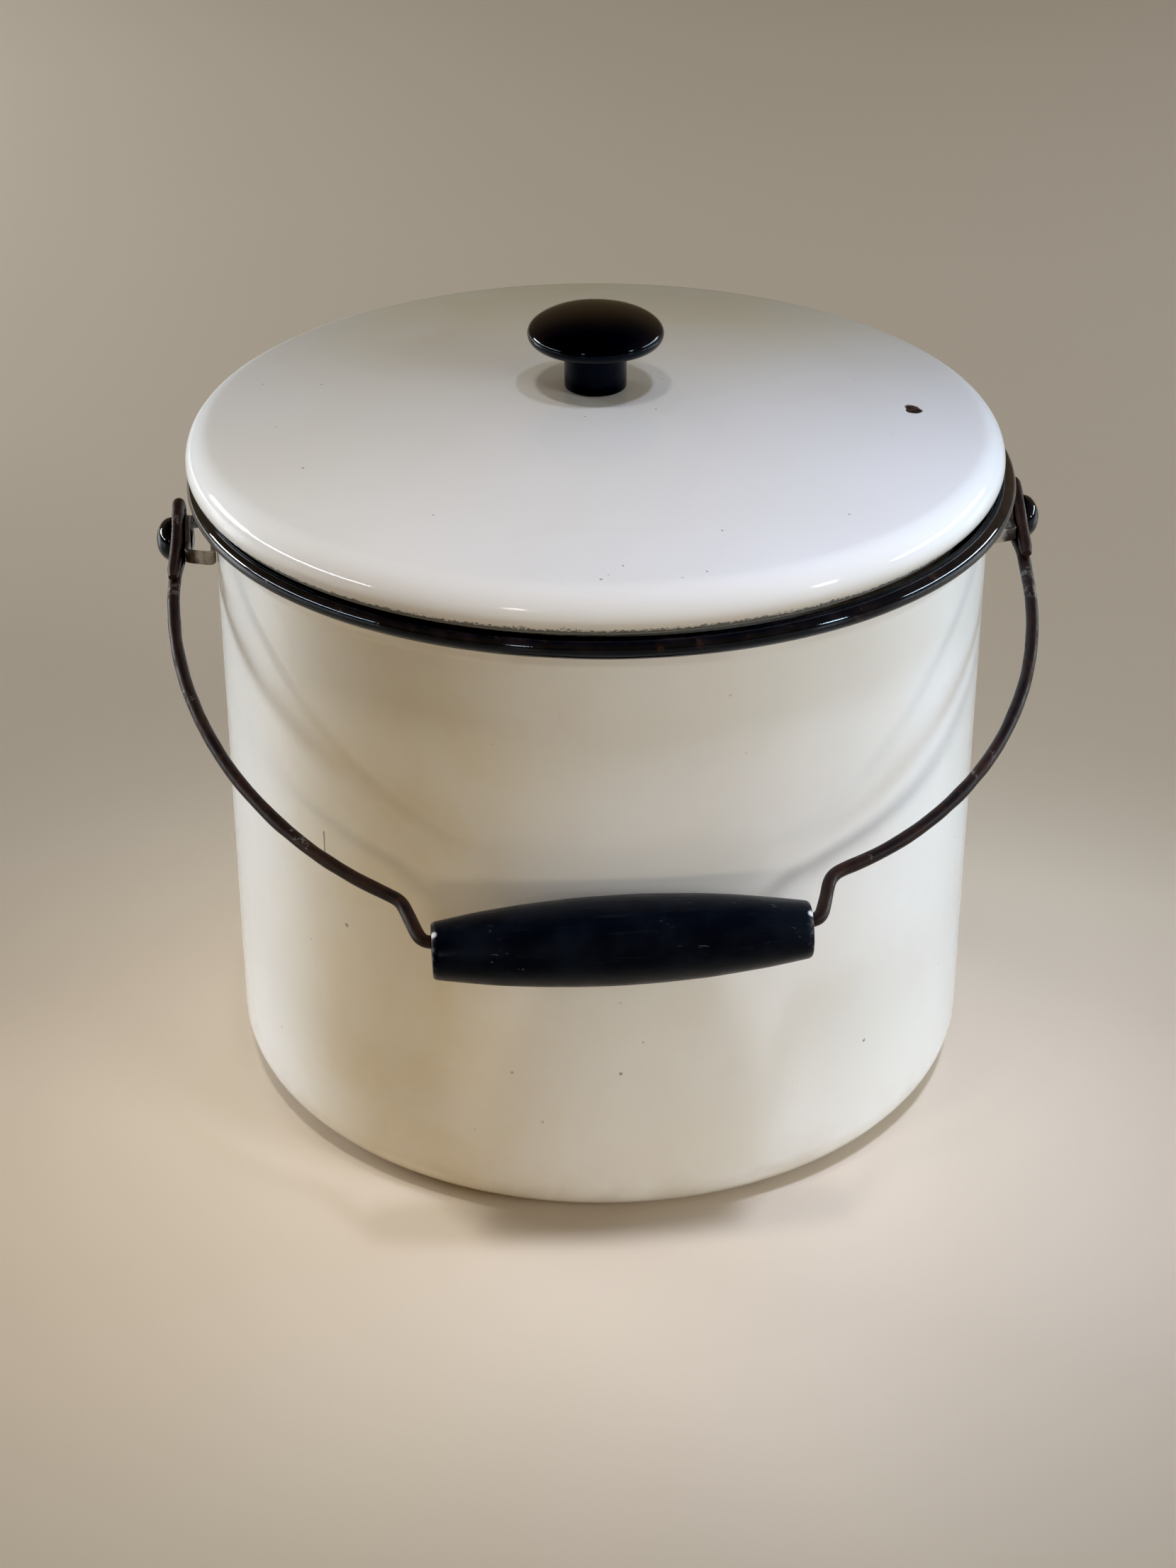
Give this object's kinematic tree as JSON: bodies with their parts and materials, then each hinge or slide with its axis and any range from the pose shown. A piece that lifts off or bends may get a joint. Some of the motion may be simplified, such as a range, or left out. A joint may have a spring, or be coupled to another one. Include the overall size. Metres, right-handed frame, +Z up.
{
  "type": "milk pail",
  "caption": "Enamelled steel pail with a rolled black rim, a lift-off domed lid with a knob, and a wire bail with a turned grip that swings on side ears.",
  "frame": {"origin": "centre of the pail's flat bottom, on the surface it stands on", "axes": "+Z up along the pail's axis; +X through the right ear, along the bail's pivot axis; -Y is the front, where the grip rests"},
  "size_m": [0.2948, 0.2917, 0.2685],
  "materials": {
    "white_enamel": "glossy white vitreous enamel on sheet steel, lightly worn, one chip on the lid",
    "black_enamel": "glossy black vitreous enamel with fine wear",
    "ear_enamel": "thin greyish white enamel, dull and stained",
    "rim_wire_steel": "plain steel wire",
    "bail_steel": "dark oxidised steel wire with brown rust patches",
    "grip_wood": "turned hardwood in satin black paint, scratched",
    "knob_phenolic": "polished black phenolic moulding",
    "insert_brass": "machined brass",
    "screw_steel": "plated steel, slightly dull"
  },
  "bodies": {
    "pail": {"body_shell": "white_enamel", "rim_bead": "black_enamel", "rim_wire": "rim_wire_steel", "left_ear_bracket": "ear_enamel", "right_ear_bracket": "ear_enamel", "left_ear_stud": "black_enamel", "right_ear_stud": "black_enamel"},
    "bail": {"bail_wire": "bail_steel"},
    "grip": {"bail_grip": "grip_wood"},
    "lid": {"lid_shell": "white_enamel", "lid_knob": "knob_phenolic", "knob_insert": "insert_brass", "knob_washer": "screw_steel", "knob_screw": "screw_steel"}
  },
  "joints": [
    {"name": "bail_swing", "type": "hinge", "parent": "pail", "child": "bail", "pos_m": [0, 0, 0.191], "axis": [-1, 0, 0], "range_deg": [0, 234.4]},
    {"name": "grip_spin", "type": "hinge", "parent": "bail", "child": "grip", "pos_m": [-0.0032, -0.1419, 0.118], "axis": [0.9997, 0.0235, 0.0116], "continuous": true},
    {"name": "lid_lift", "type": "slide", "parent": "pail", "child": "lid", "axis": [0, 0, 1], "range_m": [0, 0.2]}
  ]
}
